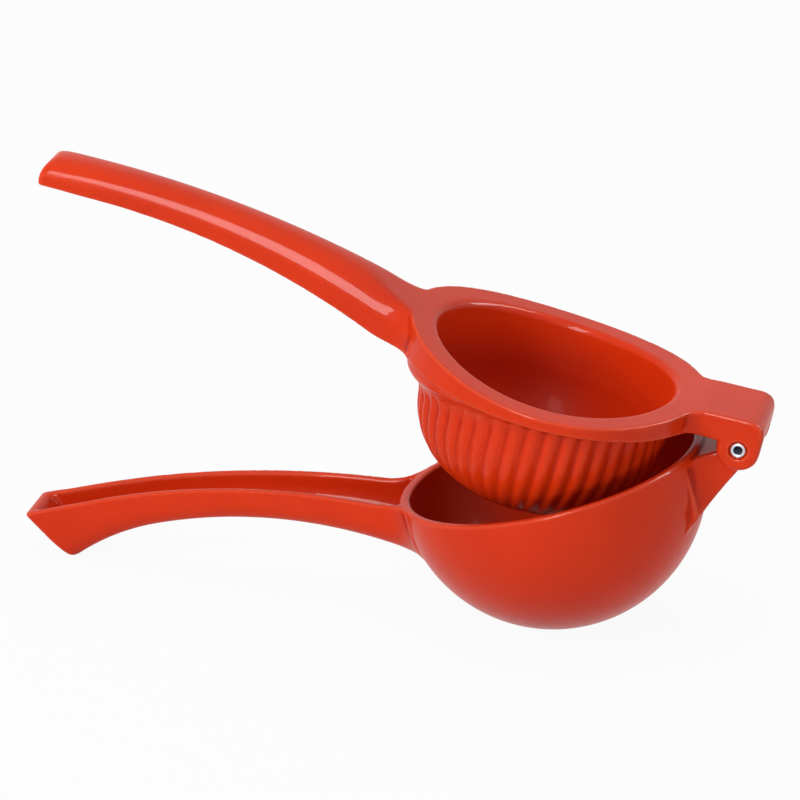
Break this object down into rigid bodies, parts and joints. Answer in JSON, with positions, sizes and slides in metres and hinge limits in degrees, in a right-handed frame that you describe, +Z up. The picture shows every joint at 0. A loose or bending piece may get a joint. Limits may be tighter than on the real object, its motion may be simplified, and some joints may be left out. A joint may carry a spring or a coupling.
{
  "type": "hinged lemon squeezer",
  "caption": "Hand lemon squeezer of enamelled cast aluminium: a strainer bowl and a fluted press cup on two channelled handles that turn on one hollow rivet.",
  "frame": {"origin": "on the table, under the middle of the squeezer as it rests half open", "axes": "+X from the handle tips towards the hinge, +Z up"},
  "size_m": [0.206, 0.0848, 0.1169],
  "materials": {
    "cup_enamel": "gloss",
    "press_enamel": "gloss",
    "rivet_steel": "satin"
  },
  "bodies": {
    "lower": {"cup_arm": "cup_enamel"},
    "upper": {"press_arm": "press_enamel", "hinge_rivet": "rivet_steel"}
  },
  "joints": [
    {"name": "hinge", "type": "hinge", "parent": "lower", "child": "upper", "pos_m": [0.09614, 0, 0.05926], "axis": [0, 1, 0], "range_deg": [-27.4, 80]}
  ]
}
